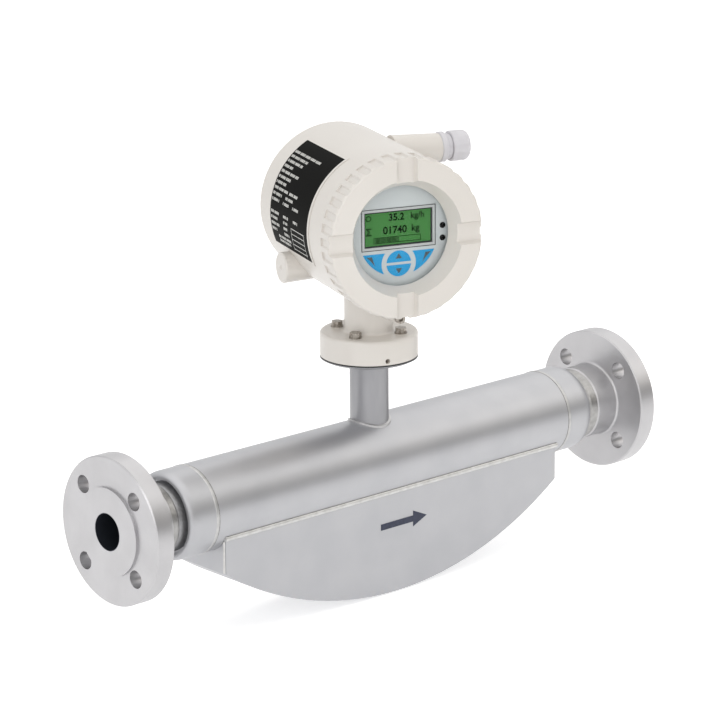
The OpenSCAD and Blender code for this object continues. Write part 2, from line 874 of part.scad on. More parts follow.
module neck_plate() {
    spigot_bore_r = neck_bore_r - 1;
    color("#c4c4c8") translate([neck_x, 0, 0]) rotate_extrude() polygon([
        [spigot_bore_r, neck_plate_z],
        [collar_r - 2 * neck_plate_chamfer, neck_plate_z],
        [collar_r, neck_plate_z + neck_plate_chamfer],
        [collar_r, neck_plate_top],
        [spigot_r, neck_plate_top],
        [spigot_r, lip_z],
        [lip_r, lip_z],
        [lip_r, lip_top],
        [spigot_bore_r, lip_top]
    ]);
}

module neck_gasket() {
    color("#1c1c1c") translate([neck_x, 0, neck_plate_top]) difference() {
        cylinder(r = collar_r, h = gasket_t);
        translate([0, 0, -1]) cylinder(r = collar_r - gasket_w, h = gasket_t + 2);
    }
}

// Transmitter head

// Collar and foot as one turned solid
module collar_solid() {
    rotate_extrude() polygon([
        [0, collar_z],
        [collar_r, collar_z],
        for (a = [0 : 15 : 90])
            [collar_r - collar_edge_r * (1 - cos(a)), collar_top - collar_edge_r * (1 - sin(a))],
        for (a = [0 : 15 : 90])
            [foot_r + foot_fillet * (1 - sin(a)), collar_top + foot_fillet * (1 - cos(a))],
        [foot_r, head_z - chamber_r - 2],
        [0, head_z - chamber_r - 2]
    ]);
}

// Space in the collar for the clamp ring and the lip, with its bolt holes
module collar_cuts() {
    translate([0, 0, collar_z - 1]) cylinder(r = clamp_recess_r, h = lip_z + free_gap - collar_z + 1);
    translate([0, 0, lip_z]) cylinder(r = lip_r + free_gap, h = lip_t + 2 * free_gap);
    translate([0, 0, lip_z]) cylinder(d = passage_d, h = head_z - lip_z);
    for (i = [0 : 3])
        rotate([0, 0, 45 + 90 * i]) translate([bolt_axis_r, 0, lip_z])
            cylinder(d = collar_bolt_d + 2 * free_gap, h = collar_h);
    translate([0, 0, set_screw_z]) rotate([90, 0, 0]) cylinder(d = set_screw_d, h = collar_r + 1);
}

module head_solid() {
    rotate_extrude() polygon([
        [0, -head_rear],
        for (a = [90 : -22.5 : 0])
            [head_r - head_rear_edge * (1 - cos(a)), -head_rear + head_rear_edge * (1 - sin(a))],
        [head_r, head_front],
        [cover_thread_r, head_front],
        [cover_thread_r, neck_front],
        [0, neck_front]
    ]);
}

// Both compartments and the seat of the rear cover
module head_cuts() {
    translate([0, 0, -partition_back]) cylinder(r = chamber_r, h = neck_front + partition_back + 1);
    translate([0, 0, -head_rear - 1]) cylinder(r = rear_bore_r, h = partition_rear + head_rear + 1);
    translate([0, 0, -head_rear - 1])
        cylinder(r = rear_cover_r + free_gap, h = rear_seat + head_rear + 1);
}

module gland_boss() {
    start = gland_boss_end - 40;
    translate([0, 0, start])
        cylinder(d1 = gland_boss_d + gland_boss_taper, d2 = gland_boss_d, h = 40);
}

module blank_boss() {
    start = 36;
    rotate_extrude() polygon([
        [0, start],
        [blank_d / 2 - 1.2, start],
        [blank_d / 2, blank_end - 2],
        for (a = [0 : 22.5 : 90])
            [blank_d / 2 - 1.5 * (1 - cos(a)), blank_end - 1.5 * (1 - sin(a))],
        [2.2, blank_end],
        [1.2, blank_end - 0.8],
        [0, blank_end - 0.8]
    ]);
}

// Boss and web for the cover lock screw
module lock_boss() {
    translate([lock_x, -lock_drop, lock_front - lock_boss_length]) {
        cylinder(d = lock_boss_d, h = lock_boss_length);
        translate([-lock_boss_d * 0.4, 0, 0])
            cube([lock_boss_d * 0.8, lock_drop - head_r + 2, lock_boss_length]);
    }
}

module head_housing() {
    color("#dedad4") difference() {
        union() {
            on_head() head_solid();
            neck_axis() collar_solid();
            gland_axis() gland_boss();
            blank_axis() blank_boss();
            on_head() lock_boss();
        }
        on_head() head_cuts();
        neck_axis() collar_cuts();
        gland_axis() cylinder(r = gland_thread_r, h = gland_boss_end + 1);
        on_head() translate([lock_x, -lock_drop, lock_front - 12]) cylinder(d = 4, h = 13);
    }
}

module clamp_ring_halves() {
    color("#8e8f93") neck_axis() difference() {
        translate([0, 0, lip_z - clamp_ring_t]) cylinder(r = clamp_ring_r, h = clamp_ring_t);
        translate([0, 0, lip_z - clamp_ring_t - 1])
            cylinder(r = spigot_r + free_gap, h = clamp_ring_t + 2);
        translate([-clamp_ring_gap / 2, -2 * clamp_ring_r, lip_z - clamp_ring_t - 1])
            cube([clamp_ring_gap, 4 * clamp_ring_r, clamp_ring_t + 2]);
        for (i = [0 : 3])
            rotate([0, 0, 45 + 90 * i])
                translate([bolt_axis_r, 0, lip_z - clamp_ring_t - 1])
                    cylinder(d = collar_bolt_d, h = clamp_ring_t + 2);
    }
}

module collar_bolts() {
    bolt_end = lip_z - clamp_ring_t;
    color("#a39a8c") neck_axis() for (i = [0 : 3])
        rotate([0, 0, 45 + 90 * i]) translate([bolt_axis_r, 0, 0]) {
            translate([0, 0, bolt_end])
                cylinder(d = collar_bolt_d, h = collar_top + washer_t - bolt_end);
            translate([0, 0, collar_top + washer_t])
                cylinder(d = bolt_head_af / cos(30), h = bolt_head_h, $fn = 6);
        }
}

module collar_washers() {
    color("#b3aca0") neck_axis() for (i = [0 : 3])
        rotate([0, 0, 45 + 90 * i]) translate([bolt_axis_r, 0, collar_top])
            difference() {
                cylinder(d = washer_d, h = washer_t);
                translate([0, 0, -1]) cylinder(d = collar_bolt_d, h = washer_t + 2);
            }
}

// Set screw between the halves of the clamp ring, in the front of the collar
module set_screw() {
    tip = spigot_r + free_gap;
    head = collar_r - set_screw_recess;
    color("#4c4c4e") neck_axis() translate([0, 0, set_screw_z]) rotate([90, 0, 0]) difference() {
        translate([0, 0, tip]) cylinder(d = set_screw_d, h = head - tip);
        translate([0, 0, head - 2]) cylinder(d = set_screw_d * 0.55, h = 3, $fn = 6);
    }
}

module cover_lock_screw() {
    color("#8b8b90") on_head() translate([lock_x, -lock_drop, lock_front]) difference() {
        union() {
            cylinder(d = lock_head_d, h = lock_head_h);
            translate([0, 0, -10]) cylinder(d = 4, h = 11);
        }
        translate([0, 0, lock_head_h - 2.2]) cylinder(d = lock_head_d * 0.55, h = 3, $fn = 6);
    }
}

// Sheet bent round the head between two angles
module bent_sheet(start, angle, from_s, to_s, thickness) {
    rotate([0, 0, start]) rotate_extrude(angle = angle)
        translate([head_r + plate_bed, from_s]) square([thickness, to_s - from_s]);
}

module nameplate() {
    color("#17181c") on_head()
        bent_sheet(plate_top_angle, plate_angle, -plate_rear, plate_length - plate_rear, plate_t);
}

module nameplate_frame() {
    front = plate_length - plate_rear;
    color("#dedad4") on_head() difference() {
        bent_sheet(plate_top_angle - plate_margin, plate_angle + 2 * plate_margin,
            -plate_rear - plate_frame_w, front + plate_frame_w, plate_t);
        translate([0, 0, -plate_rear]) rotate([0, 0, plate_top_angle]) rotate_extrude(angle = plate_angle)
            translate([head_r - 5, 0]) square([10, plate_length]);
    }
}

// Front cover

// Turned shape of the cover
module cover_blank() {
    edge_r = tooth_r - cover_edge_w;
    groove_r = cover_thread_r + free_gap;
    seal_r = groove_r + cover_oring_w;
    seal_s = head_front + 1;
    rotate_extrude() polygon([
        [groove_r, head_front],
        [cover_r, head_front],
        [cover_r, tooth_start - tooth_rise],
        [tooth_r, tooth_start],
        for (a = [0 : 18 : 90])
            [edge_r + cover_edge_w * cos(a), cover_face - cover_edge_l * (1 - sin(a))],
        [window_r + bowl_w, cover_face],
        [window_r, window_edge],
        [window_r, glass_front],
        [glass_d / 2, glass_front],
        [glass_d / 2, retainer_back],
        [cover_boss_r, retainer_back],
        [cover_boss_r, neck_front + 0.8],
        [groove_r, neck_front + 0.8],
        [groove_r, seal_s + cover_oring_w],
        [seal_r, seal_s + cover_oring_w],
        [seal_r, seal_s],
        [groove_r, seal_s]
    ]);
}

module notch() {
    floor_r = tooth_r - notch_depth;
    top_w = notch_w + 2 * notch_depth;
    translate([0, 0, tooth_start + 0.4]) linear_extrude(cover_length) polygon([
        [floor_r, -notch_w / 2],
        [floor_r + 2 * notch_depth, -top_w / 2 - notch_depth],
        [floor_r + 2 * notch_depth, top_w / 2 + notch_depth],
        [floor_r, notch_w / 2]
    ]);
}

// Radial key slot for the cover wrench
module key_slot() {
    slope = (slot_top_w - slot_floor_w) / 2 / slot_depth;
    rise = slot_depth + 1;
    translate([window_r - 1, 0, cover_face - slot_depth]) rotate([90, 0, 90])
        linear_extrude(head_r) polygon([
            [-slot_floor_w / 2, 0],
            [slot_floor_w / 2, 0],
            [slot_floor_w / 2 + slope * rise, rise],
            [-slot_floor_w / 2 - slope * rise, rise]
        ]);
}

module front_cover() {
    color("#dedad4") on_head() difference() {
        cover_blank();
        for (i = [0 : notch_count - 1]) rotate([0, 0, 360 * i / notch_count]) notch();
        for (i = [0 : 3]) rotate([0, 0, 90 * i]) key_slot();
    }
}

module cover_glass() {
    color("#dfe8ea", 0.35) on_head() translate([0, 0, glass_back]) cylinder(d = glass_d, h = glass_t);
}

module glass_retainer() {
    color("#3a3a3c") on_head() translate([0, 0, retainer_back]) difference() {
        cylinder(d = glass_d, h = retainer_t);
        translate([0, 0, -1]) cylinder(r = retainer_r, h = retainer_t + 2);
    }
}

module cover_oring() {
    ring_r = cover_thread_r + free_gap + cover_oring_w / 2;
    color("#202020") on_head() translate([0, 0, head_front + 1 + cover_oring_w / 2])
        rotate_extrude() translate([ring_r, 0]) circle(d = cover_oring_w - 2 * seal_gap, $fn = 24);
}

// Display

module display_panel() {
    color("#b9c3c5") on_head() difference() {
        translate([0, 0, display_back]) cylinder(r = display_r, h = display_t);
        translate([-lcd_frame_w / 2, lcd_y - lcd_frame_h / 2, lcd_back])
            cube([lcd_frame_w, lcd_frame_h, display_t]);
    }
}

module lcd_frame() {
    color("#c9cbce") on_head() difference() {
        translate([-lcd_frame_w / 2, lcd_y - lcd_frame_h / 2, lcd_seat])
            cube([lcd_frame_w, lcd_frame_h, 1.4]);
        translate([-lcd_w / 2, lcd_y - lcd_h / 2, lcd_seat - 1]) cube([lcd_w, lcd_h, 4]);
    }
}

module lcd_screen() {
    color("#4b9146") on_head() translate([-lcd_frame_w / 2, lcd_y - lcd_frame_h / 2, lcd_back])
        cube([lcd_frame_w, lcd_frame_h, lcd_seat - lcd_back]);
}

module key_pads() {
    color("#3ca0d7") on_head() translate([0, 0, display_s]) linear_extrude(key_t) {
        difference() {
            translate([0, -key_y]) circle(d = key_d);
            translate([-key_d, -key_y - key_gap / 2]) square([2 * key_d, key_gap]);
        }
        difference() {
            intersection() {
                circle(r = side_key_r);
                for (side = [0, 1]) mirror([side, 0])
                    translate([side_key_x, -side_key_r - side_key_y])
                        square([side_key_r, side_key_r]);
            }
            translate([0, -key_y]) circle(r = key_d / 2 + side_key_hollow);
        }
    }
}

module display_sensors() {
    color("#101010") on_head() for (side = [-1, 1])
        translate([sensor_dot_x, side * sensor_dot_spacing / 2 - 1, display_s])
            cylinder(d = sensor_dot_d, h = key_t, $fn = 32);
}

// Electronics in its case on three feet, with a hub that carries the display
module electronics_module() {
    back = -partition_back + 3;
    front = display_back - 4;
    color("#3f4a45") on_head() {
        translate([0, 0, back]) cylinder(r = module_r, h = front - back);
        translate([0, 0, front - 1])
            cylinder(d = module_hub_d, h = display_back - free_gap - front + 1);
        for (angle = [90, 210, 330])
            rotate([0, 0, angle]) translate([module_r - 8, 0, -partition_back])
                cylinder(d = 8, h = 4, $fn = 32);
    }
}

module terminal_block() {
    pitch = terminal_w / (terminal_count + 1);
    color("#2f6b45") on_head() difference() {
        translate([-terminal_w / 2, -terminal_h / 2, partition_rear - terminal_t])
            cube([terminal_w, terminal_h, terminal_t]);
        for (i = [1 : terminal_count])
            translate([-terminal_w / 2 + i * pitch, 0, partition_rear - terminal_t - 1])
                cylinder(d = pitch * 0.65, h = terminal_t / 2, $fn = 24);
    }
}

// Rear cover

module terminal_cover() {
    color("#dedad4") on_head() difference() {
        union() {
            translate([0, 0, -head_rear]) cylinder(r = rear_cover_r, h = rear_cover_t);
            translate([0, 0, rear_cover_inner]) difference() {
                cylinder(r = rear_thread_r, h = rear_thread_length);
                translate([0, 0, -1]) cylinder(r = rear_thread_r - 4, h = rear_thread_length + 2);
            }
        }
        for (i = [0 : 3]) rotate([0, 0, 45 + 90 * i])
            translate([rear_cover_r * 0.6, -rear_slot_w / 2, -head_rear - 1])
                cube([rear_cover_r, rear_slot_w, rear_cover_t / 2 + 1]);
    }
}

module terminal_cover_oring() {
    ring_r = rear_bore_r + 0.4 + rear_oring_w;
    color("#202020") on_head() translate([0, 0, rear_cover_inner + rear_oring_w / 2])
        rotate_extrude() translate([ring_r, 0]) circle(d = rear_oring_w - 2 * seal_gap, $fn = 24);
}

// Cable gland

module gland_body() {
    color("#d5d3d6") gland_axis() rotate_extrude() polygon([
        [gland_bore_r, gland_boss_end - 14],
        [gland_thread_r, gland_boss_end - 14],
        [gland_thread_r, gland_boss_end],
        [gland_ring_d / 2 - 0.6, gland_boss_end],
        [gland_ring_d / 2, gland_boss_end + 0.6],
        [gland_ring_d / 2, gland_ring_end - 0.6],
        [gland_ring_d / 2 - 0.6, gland_ring_end],
        [gland_waist_d / 2, gland_ring_end],
        [gland_waist_d / 2, gland_waist_end],
        [gland_cap_bore_r - free_gap, gland_waist_end],
        [gland_cap_bore_r - free_gap, gland_nose],
        [gland_mouth_r, gland_nose],
        [gland_mouth_r, gland_mouth],
        [gland_bore_r, gland_mouth]
    ]);
}

module gland_seal() {
    seal_l = gland_seal_end - gland_mouth - free_gap;
    color("#2b2b2b") gland_axis() translate([0, 0, gland_mouth + free_gap]) difference() {
        cylinder(r = gland_mouth_r - free_gap, h = seal_l);
        translate([0, 0, -1]) cylinder(r = gland_bore_r + 0.2, h = seal_l + 2);
    }
}

module gland_cap_nut() {
    back = gland_waist_end + free_gap;
    shoulder = gland_cap_end - 4.5;
    cap_r = gland_cap_d / 2;
    end_r = gland_cap_end_d / 2;
    color("#d5d3d6") gland_axis() difference() {
        intersection() {
            rotate_extrude() polygon([
                [0, back],
                [cap_r - 0.5, back],
                [cap_r, back + 0.5],
                for (a = [0 : 15 : 90])
                    [end_r + (cap_r - end_r) * cos(a), shoulder + 4.5 * sin(a)],
                [0, gland_cap_end]
            ]);
            cylinder(d = (gland_cap_d - 0.8) / cos(30), h = gland_cap_end + 1, $fn = 6);
        }
        rotate_extrude() polygon([
            [0, back - 1],
            [gland_cap_bore_r, back - 1],
            [gland_cap_bore_r, gland_cap_end - 3.2],
            [gland_bore_r + 0.4, gland_cap_end - 2],
            [gland_bore_r + 0.4, gland_cap_end + 1],
            [0, gland_cap_end + 1]
        ]);
    }
}

inlet_flange();
outlet_flange();
hub_welds();
inlet_splitter();
outlet_splitter();
inlet_end_cap();
outlet_end_cap();
housing_tube();
seam_welds();
belly_front_plate();
belly_back_plate();
belly_rim();
belly_welds();
flow_arrow();
measuring_tube_front();
measuring_tube_back();
brace_plates();
drive_coil();
drive_magnet();
pickoff_coils();
pickoff_magnets();
temperature_sensor();
neck_tube();
neck_weld();
neck_feedthrough();
neck_plate();
neck_gasket();
head_housing();
clamp_ring_halves();
collar_bolts();
collar_washers();
set_screw();
cover_lock_screw();
nameplate();
nameplate_frame();
front_cover();
cover_glass();
glass_retainer();
cover_oring();
display_panel();
lcd_frame();
lcd_screen();
key_pads();
display_sensors();
electronics_module();
terminal_block();
terminal_cover();
terminal_cover_oring();
gland_body();
gland_seal();
gland_cap_nut();
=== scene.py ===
import json
import math

import bmesh
import bpy
from mathutils import Matrix, Vector


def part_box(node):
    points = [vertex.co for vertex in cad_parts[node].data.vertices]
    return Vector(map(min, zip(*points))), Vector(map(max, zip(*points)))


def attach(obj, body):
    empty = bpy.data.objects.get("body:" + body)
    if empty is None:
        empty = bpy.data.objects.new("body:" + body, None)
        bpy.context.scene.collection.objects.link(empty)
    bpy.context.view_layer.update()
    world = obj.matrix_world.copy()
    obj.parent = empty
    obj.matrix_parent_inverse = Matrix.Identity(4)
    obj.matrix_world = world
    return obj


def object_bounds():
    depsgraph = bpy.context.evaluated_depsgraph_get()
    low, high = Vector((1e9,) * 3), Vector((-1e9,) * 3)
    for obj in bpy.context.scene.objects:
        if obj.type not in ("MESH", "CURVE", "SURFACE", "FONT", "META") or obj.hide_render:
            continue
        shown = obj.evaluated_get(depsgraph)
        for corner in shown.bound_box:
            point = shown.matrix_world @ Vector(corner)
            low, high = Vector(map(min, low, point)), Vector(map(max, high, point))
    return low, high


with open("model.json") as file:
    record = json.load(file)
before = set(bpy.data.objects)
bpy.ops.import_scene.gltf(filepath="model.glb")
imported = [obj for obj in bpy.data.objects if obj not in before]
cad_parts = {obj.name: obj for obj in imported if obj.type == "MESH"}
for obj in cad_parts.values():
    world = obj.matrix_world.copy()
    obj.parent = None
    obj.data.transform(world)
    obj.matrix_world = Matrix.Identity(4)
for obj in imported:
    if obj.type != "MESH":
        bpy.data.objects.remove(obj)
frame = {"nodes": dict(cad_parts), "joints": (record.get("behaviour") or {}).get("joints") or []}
cad_low, cad_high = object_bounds()


# Camera: a long lens in front of the inlet end, a little above the head and
# turned so that the meter runs away to the right.
view_azimuth = math.radians(-42.106)
view_elevation = math.radians(15.640)
view_roll = math.radians(-0.398)
back = Vector((
    math.sin(view_azimuth) * math.cos(view_elevation),
    -math.cos(view_azimuth) * math.cos(view_elevation),
    math.sin(view_elevation),
))
level_right = Vector((math.cos(view_azimuth), math.sin(view_azimuth), 0))
level_up = back.cross(level_right)
camera_right = level_right * math.cos(view_roll) + level_up * math.sin(view_roll)
camera_up = level_up * math.cos(view_roll) - level_right * math.sin(view_roll)
camera = bpy.data.objects.new("camera", bpy.data.cameras.new("camera"))
camera.data.lens = 173.01
camera.data.sensor_width = 36
camera.data.clip_start = 0.1
camera.data.clip_end = 50
camera.matrix_world = Matrix((camera_right, camera_up, back)).transposed().to_4x4()
camera.location = (-1.4936, -1.9334, 0.8131)
bpy.context.scene.collection.objects.link(camera)
bpy.context.scene.camera = camera
bpy.context.scene.view_settings.view_transform = "Standard"


# Floor and surroundings: a white studio sweep. The floor takes the soft shadow
# of the belly, and metal mirrors the same white room with a dark band of wall.
def seen_directly(tree, *rays):
    """1 for a ray of one of the kinds that see the room itself, else 0."""
    path = tree.nodes.new("ShaderNodeLightPath")
    total = path.outputs[rays[0]]
    for ray in rays[1:]:
        either = tree.nodes.new("ShaderNodeMath")
        either.operation = "MAXIMUM"
        tree.links.new(total, either.inputs[0])
        tree.links.new(path.outputs[ray], either.inputs[1])
        total = either.outputs[0]
    return total


def rescale(tree, value, source=(0, 1), target=(0, 1)):
    """A value moved from one range to another and held at its ends."""
    span = tree.nodes.new("ShaderNodeMapRange")
    for end, level in zip(("Min", "Max"), source):
        span.inputs["From " + end].default_value = level
    for end, level in zip(("Min", "Max"), target):
        span.inputs["To " + end].default_value = level
    tree.links.new(value, span.inputs["Value"])
    return span.outputs["Result"]


def between(tree, share, first, second):
    """Goes from the first colour to the second as the share rises from 0 to 1."""
    mixed = tree.nodes.new("ShaderNodeMix")
    mixed.data_type = "RGBA"
    tree.links.new(share, mixed.inputs["Factor"])
    for socket, colour in (("A", first), ("B", second)):
        if isinstance(colour, tuple):
            mixed.inputs[socket].default_value = (*colour, 1)
        else:
            tree.links.new(colour, mixed.inputs[socket])
    return mixed.outputs["Result"]


floor_radius = 8
floor_clearance = 0.001
meter_middle = 0.27
floor_mesh = bmesh.new()
bmesh.ops.create_circle(floor_mesh, cap_ends=True, segments=96, radius=floor_radius)
floor_data = bpy.data.meshes.new("studio_floor")
floor_mesh.to_mesh(floor_data)
floor_mesh.free()
floor_data.transform(Matrix.Translation((meter_middle, 0, cad_low.z - floor_clearance)))
studio_floor = bpy.data.objects.new("studio_floor", floor_data)
bpy.context.scene.collection.objects.link(studio_floor)

sweep = bpy.data.materials.new("white_sweep")
sweep.use_nodes = True
sweep_shader = sweep.node_tree.nodes["Principled BSDF"]
sweep_shader.inputs["Base Color"].default_value = (0.86, 0.86, 0.86, 1)
sweep_shader.inputs["Roughness"].default_value = 0.9
sweep_shader.inputs["Specular IOR Level"].default_value = 0
sweep_shader.inputs["Emission Color"].default_value = (1, 1, 1, 1)
sweep_seen = seen_directly(
    sweep.node_tree, "Is Camera Ray", "Is Glossy Ray", "Is Transmission Ray"
)
sweep.node_tree.links.new(
    rescale(sweep.node_tree, sweep_seen, target=(0.18, 0.5)),
    sweep_shader.inputs["Emission Strength"],
)
floor_data.materials.append(sweep)

room = bpy.data.worlds.new("room")
room.use_nodes = True
bpy.context.scene.world = room
room_tree = room.node_tree
heading = room_tree.nodes.new("ShaderNodeSeparateXYZ")
room_tree.links.new(
    room_tree.nodes.new("ShaderNodeTexCoord").outputs["Generated"], heading.inputs[0]
)
walls = room_tree.nodes.new("ShaderNodeValToRGB")
wall_tones = (
    (0.485, (0.93, 0.93, 0.96)),
    (0.495, (0.12, 0.118, 0.115)),
    (0.575, (0.12, 0.117, 0.112)),
    (0.660, (0.41, 0.385, 0.345)),
    (0.770, (0.95, 0.94, 0.92)),
)
for level, colour in wall_tones:
    walls.color_ramp.elements.new(level).color = (*colour, 1)
walls.color_ramp.elements[0].color = (0.95, 0.95, 0.95, 1)
walls.color_ramp.elements[-1].color = (0.92, 0.92, 0.92, 1)
room_tree.links.new(
    rescale(room_tree, heading.outputs["Z"], source=(-1, 1)), walls.inputs["Fac"]
)
towards_back = rescale(room_tree, heading.outputs["Y"], source=(-0.3, 0.3))
mirrored = between(room_tree, towards_back, walls.outputs["Color"], (1, 1, 1))
room_seen = seen_directly(room_tree, "Is Camera Ray", "Is Transmission Ray")
plain = rescale(room_tree, room_seen, target=(0.6, 1))
room_tree.links.new(
    between(room_tree, seen_directly(room_tree, "Is Glossy Ray"), plain, mirrored),
    room_tree.nodes["Background"].inputs["Color"],
)


# Lamps: a broad key from the left for the flange faces, a soft box overhead that
# draws the bright line along the housing tube, a weak fill in front, a small warm
# lamp beside the outlet and a narrow one for the display.
def soft_lamp(name, place, aim, side, watts, colour=(1, 1, 1), spread=180):
    """A square soft box at a place, turned to its aim."""
    data = bpy.data.lights.new(name, "AREA")
    data.shape = "SQUARE"
    data.size = side
    data.energy = watts
    data.color = colour
    data.spread = math.radians(spread)
    lamp = bpy.data.objects.new(name, data)
    lamp.location = place
    lamp.rotation_mode = "QUATERNION"
    lamp.rotation_quaternion = (Vector(aim) - Vector(place)).to_track_quat("-Z", "Y")
    bpy.context.scene.collection.objects.link(lamp)


warm_white = (1, 0.965, 0.915)
soft_lamp("key_lamp", (-2.2, -0.9, 1.0), (0.2, 0, 0.05), side=1.8, watts=18)
soft_lamp("top_lamp", (0.7, -0.1, 1.8), (0.4, -0.1, 0), 3.6, 21, warm_white)
soft_lamp("fill_lamp", (-0.9, -2.4, 0.9), (0.27, 0, 0.1), side=1.0, watts=6)
soft_lamp("side_lamp", (0.98, -0.5, 0.42), (0.5, 0, 0.02), 0.45, 0.45, warm_white)
soft_lamp("face_lamp", (0.6, -1.1, 0.62), (0.235, -0.07, 0.23), 0.2, 0.009, spread=13)


# Flanges: forged stainless rings, faced and bored on a lathe, so the faces carry
# fine concentric turning marks. The bore is painted dark, as painted shade for the
# shade that lies inside it.
def new_finish(name, colour, roughness, metallic=0, sockets=()):
    """A material, with the object's own coordinates ready for its patterns."""
    material = bpy.data.materials.new(name)
    material.use_nodes = True
    shader = material.node_tree.nodes["Principled BSDF"]
    shader.inputs["Base Color"].default_value = (*colour, 1)
    shader.inputs["Metallic"].default_value = metallic
    shader.inputs["Roughness"].default_value = roughness
    for socket, level in sockets:
        shader.inputs[socket].default_value = level
    material.node_tree.nodes.new("ShaderNodeTexCoord").name = "own place"
    return material


def speckle(material, scale, detail=4, stretch=(1, 1, 1)):
    """Noise of a scale in grains a metre, drawn out by stretch."""
    tree = material.node_tree
    mapping = tree.nodes.new("ShaderNodeMapping")
    mapping.inputs["Scale"].default_value = stretch
    noise = tree.nodes.new("ShaderNodeTexNoise")
    noise.inputs["Scale"].default_value = scale
    noise.inputs["Detail"].default_value = detail
    tree.links.new(tree.nodes["own place"].outputs["Object"], mapping.inputs["Vector"])
    tree.links.new(mapping.outputs[0], noise.inputs["Vector"])
    return noise.outputs["Fac"]


def turning_marks(material, axis, pitch):
    """Rings round an axis of the object, one pitch apart."""
    spacing_at_scale_one = 0.314
    tree = material.node_tree
    rings = tree.nodes.new("ShaderNodeTexWave")
    rings.wave_type = "RINGS"
    rings.rings_direction = axis
    rings.inputs["Scale"].default_value = spacing_at_scale_one / pitch
    rings.inputs["Distortion"].default_value = 0.3
    rings.inputs["Detail"].default_value = 1
    tree.links.new(tree.nodes["own place"].outputs["Object"], rings.inputs["Vector"])
    return rings.outputs["Fac"]


def tint(material, pattern, dark, light):
    """Lets the colour drift between two tones with a pattern."""
    tree = material.node_tree
    ramp = tree.nodes.new("ShaderNodeValToRGB")
    for stop, level, tone in zip(ramp.color_ramp.elements, (0.35, 0.65), (dark, light)):
        stop.position = level
        stop.color = (*tone, 1)
    tree.links.new(pattern, ramp.inputs["Fac"])
    tree.links.new(
        ramp.outputs["Color"], tree.nodes["Principled BSDF"].inputs["Base Color"]
    )


def gloss_range(material, pattern, low, high):
    """Lets the roughness drift between two values with a pattern."""
    tree = material.node_tree
    tree.links.new(
        rescale(tree, pattern, target=(low, high)),
        tree.nodes["Principled BSDF"].inputs["Roughness"],
    )


def relief(material, pattern, depth):
    """Surface relief of a depth in metres, over the relief that is there."""
    tree = material.node_tree
    surface = tree.nodes["Principled BSDF"].inputs["Normal"]
    bump = tree.nodes.new("ShaderNodeBump")
    bump.inputs["Strength"].default_value = 1
    bump.inputs["Distance"].default_value = depth
    if surface.is_linked:
        tree.links.new(surface.links[0].from_socket, bump.inputs["Normal"])
    tree.links.new(pattern, bump.inputs["Height"])
    tree.links.new(bump.outputs["Normal"], surface)


def darken_bore(material, radius, colour):
    """Paints shade, in another colour, on what is nearer the pipe axis than a radius."""
    tree = material.node_tree
    parts = tree.nodes.new("ShaderNodeSeparateXYZ")
    tree.links.new(tree.nodes["own place"].outputs["Object"], parts.inputs[0])
    across = tree.nodes.new("ShaderNodeCombineXYZ")
    for axis in "YZ":
        tree.links.new(parts.outputs[axis], across.inputs[axis])
    reach = tree.nodes.new("ShaderNodeVectorMath")
    reach.operation = "LENGTH"
    tree.links.new(across.outputs[0], reach.inputs[0])
    inside = tree.nodes.new("ShaderNodeMath")
    inside.operation = "LESS_THAN"
    inside.inputs[1].default_value = radius
    tree.links.new(reach.outputs["Value"], inside.inputs[0])
    surface = tree.nodes["Principled BSDF"].inputs["Base Color"]
    steel = surface.links[0].from_socket
    tree.links.new(between(tree, inside.outputs[0], steel, colour), surface)


def dress(material, *names):
    """Gives CAD pieces their finish."""
    for name in names:
        piece = frame["nodes"][name]
        if not piece.material_slots:
            piece.data.materials.append(material)
        for slot in piece.material_slots:
            slot.material = material


flange_steel = new_finish("turned_flange_steel", (0.6, 0.6, 0.61), 0.42, metallic=0.8)
tint(
    flange_steel, speckle(flange_steel, 40),
    (0.495, 0.49, 0.502), (0.53, 0.525, 0.538),
)
gloss_range(flange_steel, speckle(flange_steel, 700), 0.32, 0.4)
relief(flange_steel, turning_marks(flange_steel, "X", pitch=0.0008), 0.00001)
relief(flange_steel, speckle(flange_steel, 1800), 0.000015)
# Painted shade: the bore wall is coloured dark for the shade inside it.
darken_bore(flange_steel, radius=0.0146, colour=(0.07, 0.08, 0.1))
dress(flange_steel, "inlet_flange", "outlet_flange")


# Flow splitters: cast stainless necks between flange and housing, left with the
# grey skin of the casting after blasting. Their grey is also painted darker than
# the housing, as painted shade for the shadow on the necks. Their flow passages
# lie in shade, which is painted on them in a dark colour.
cast_steel = new_finish("cast_splitter_skin_and_shade", (0.4, 0.4, 0.41), 0.38, metallic=0.8)
# Painted shade: part of this darker grey stands in for the shadow on the necks.
tint(cast_steel, speckle(cast_steel, 300), (0.36, 0.36, 0.37), (0.43, 0.43, 0.44))
relief(cast_steel, speckle(cast_steel, 900), 0.00006)
# Painted shade: the flow passages are coloured dark for the shade inside them.
darken_bore(cast_steel, radius=0.0256, colour=(0.03, 0.035, 0.045))
dress(cast_steel, "inlet_splitter", "outlet_splitter")


# Housing: rolled stainless tube with pressed end caps and a flat belly, all bead
# blasted to an even satin grey with faint cloudy patches.
satin_steel = new_finish("blasted_housing_steel", (0.5, 0.5, 0.52), 0.45, metallic=0.8)
tint(
    satin_steel, speckle(satin_steel, 30, 3),
    (0.462, 0.466, 0.487), (0.49, 0.493, 0.512),
)
gloss_range(satin_steel, speckle(satin_steel, 900), 0.38, 0.46)
relief(satin_steel, speckle(satin_steel, 2200, 2), 0.00003)
dress(
    satin_steel, "inlet_end_cap", "outlet_end_cap", "housing_tube",
    "belly_front_plate", "belly_back_plate", "belly_rim",
)


